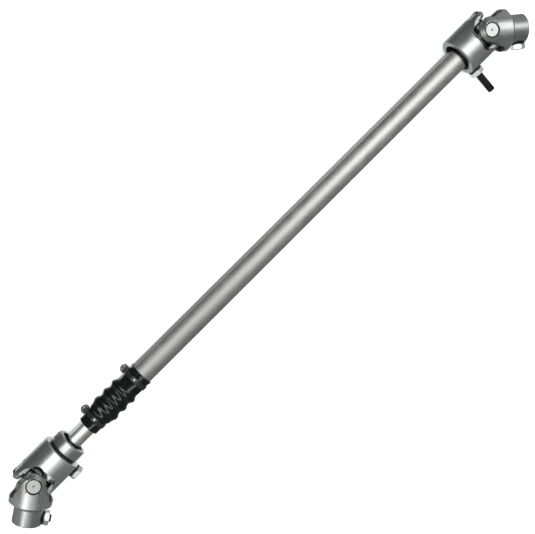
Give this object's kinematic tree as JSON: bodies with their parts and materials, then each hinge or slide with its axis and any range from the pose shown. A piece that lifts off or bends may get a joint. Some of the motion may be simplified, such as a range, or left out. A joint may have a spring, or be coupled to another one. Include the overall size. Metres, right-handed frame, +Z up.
{
  "type": "universal joint shaft",
  "caption": "Telescoping double-D steering shaft with a needle-bearing universal joint at each end, a bellows boot, a vibration isolator and clamp screws with jam nuts",
  "frame": {"origin": "centre of the footprint on the table, at the bottom of the yokes", "axes": "+X along the main shaft, towards the end with the larger tube; +Z up, along the end yokes' pins; both joints bend towards -Y"},
  "size_m": [0.7022, 0.069, 0.0412],
  "materials": {
    "tube_steel": "satin drawn steel, faintly mottled",
    "shaft_steel": "bright satin drawn steel",
    "yoke_steel": "machined steel, satin grey",
    "boot_rubber": "glossy moulded rubber",
    "black_rubber": "matt moulded rubber",
    "tie_nylon": "black nylon",
    "black_oxide": "black oxide",
    "zinc_plate": "bright zinc plate",
    "ground_steel": "ground bright steel",
    "bearing_steel": "hardened bearing steel"
  },
  "bodies": {
    "outer": {"outer_tube": "tube_steel", "upper_yoke": "yoke_steel", "upper_set_screw": "black_oxide", "upper_jam_nut": "zinc_plate", "upper_lock_washer": "black_oxide", "upper_yoke_cups": "ground_steel", "upper_yoke_needles": "bearing_steel", "upper_yoke_seals": "black_rubber", "boot": "boot_rubber", "upper_tie": "tie_nylon"},
    "inner": {"inner_shaft": "shaft_steel", "isolator_hub": "yoke_steel", "hub_set_screw": "black_oxide", "lower_tie": "tie_nylon"},
    "lower_housing": {"lower_yoke": "yoke_steel", "isolator_sleeve": "yoke_steel", "isolator_rubber": "black_rubber", "lower_set_screw": "black_oxide", "lower_jam_nut": "zinc_plate", "lower_lock_washer": "black_oxide", "lower_yoke_cups": "ground_steel", "lower_yoke_needles": "bearing_steel", "lower_yoke_seals": "black_rubber"},
    "upper_cross": {"upper_spider": "bearing_steel"},
    "upper_end": {"upper_end_yoke": "yoke_steel", "upper_end_set_screw": "black_oxide", "upper_end_jam_nut": "zinc_plate", "upper_end_lock_washer": "black_oxide", "upper_end_cups": "ground_steel", "upper_end_needles": "bearing_steel", "upper_end_seals": "black_rubber"},
    "lower_cross": {"lower_spider": "bearing_steel"},
    "lower_end": {"lower_end_yoke": "yoke_steel", "lower_end_set_screw": "black_oxide", "lower_end_jam_nut": "zinc_plate", "lower_end_lock_washer": "black_oxide", "lower_end_cups": "ground_steel", "lower_end_needles": "bearing_steel", "lower_end_seals": "black_rubber"}
  },
  "joints": [
    {"name": "telescope", "type": "slide", "parent": "outer", "child": "inner", "axis": [-1, 0, 0], "range_m": [-0.012, 0.03], "deforming": ["boot"]},
    {"name": "isolator_twist", "type": "hinge", "parent": "inner", "child": "lower_housing", "pos_m": [-0.26441, 0.0139, 0.0206], "axis": [1, 0, 0], "range_deg": [-3, 3], "stiffness_Nm_per_rad": 40},
    {"name": "upper_cross_pivot", "type": "hinge", "parent": "outer", "child": "upper_cross", "pos_m": [0.30869, 0.0139, 0.0206], "axis": [0, 1, 0], "range_deg": [-10, 10]},
    {"name": "upper_end_pivot", "type": "hinge", "parent": "upper_cross", "child": "upper_end", "pos_m": [0.30869, 0.0139, 0.0206], "axis": [0, 0, 1], "range_deg": [0, 73.6]},
    {"name": "lower_cross_pivot", "type": "hinge", "parent": "lower_housing", "child": "lower_cross", "pos_m": [-0.30811, 0.0139, 0.0206], "axis": [0, 1, 0], "range_deg": [-10, 10]},
    {"name": "lower_end_pivot", "type": "hinge", "parent": "lower_cross", "child": "lower_end", "pos_m": [-0.30811, 0.0139, 0.0206], "axis": [0, 0, -1], "range_deg": [0, 68.8]}
  ]
}
